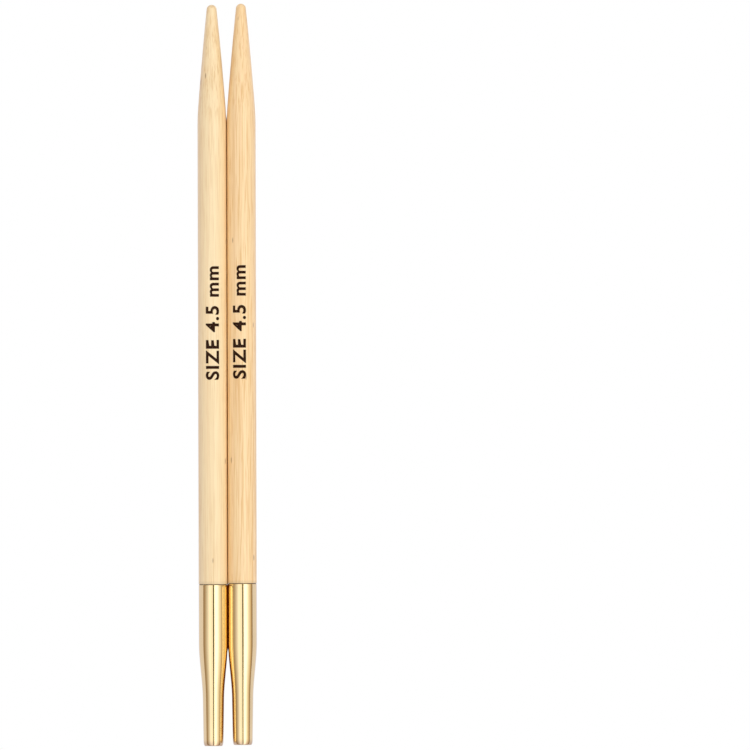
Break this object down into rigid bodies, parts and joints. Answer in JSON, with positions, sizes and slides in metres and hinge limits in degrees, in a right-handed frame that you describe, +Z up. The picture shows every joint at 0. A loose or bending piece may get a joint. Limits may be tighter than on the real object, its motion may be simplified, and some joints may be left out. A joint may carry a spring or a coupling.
{
  "type": "interchangeable circular knitting needle tips",
  "caption": "Pair of round bamboo needle tips with long tapered points and polished brass ferrules, side by side, with threaded sockets for a cable.",
  "frame": {"origin": "on the surface that the tips lie on, midway between them and midway along their length", "axes": "+Y along the tips from the ferrules to the points, +Z up from the surface, +X from the left tip to the right one"},
  "size_m": [0.009, 0.1162, 0.0045],
  "materials": {
    "bamboo_pale": "satin",
    "bamboo_warm": "satin",
    "polished_brass": "polished",
    "glue": "matte",
    "black_ink": "matte"
  },
  "bodies": {
    "left_tip": {"left_shaft": "bamboo_pale", "left_adhesive": "glue", "left_ferrule": "polished_brass", "left_size_print": "black_ink"},
    "right_tip": {"right_shaft": "bamboo_warm", "right_adhesive": "glue", "right_ferrule": "polished_brass", "right_size_print": "black_ink"}
  },
  "joints": [
    {"name": "pair_separation", "type": "slide", "parent": "left_tip", "child": "right_tip", "axis": [1, 0, 0], "range_m": [0, 0.1]}
  ]
}
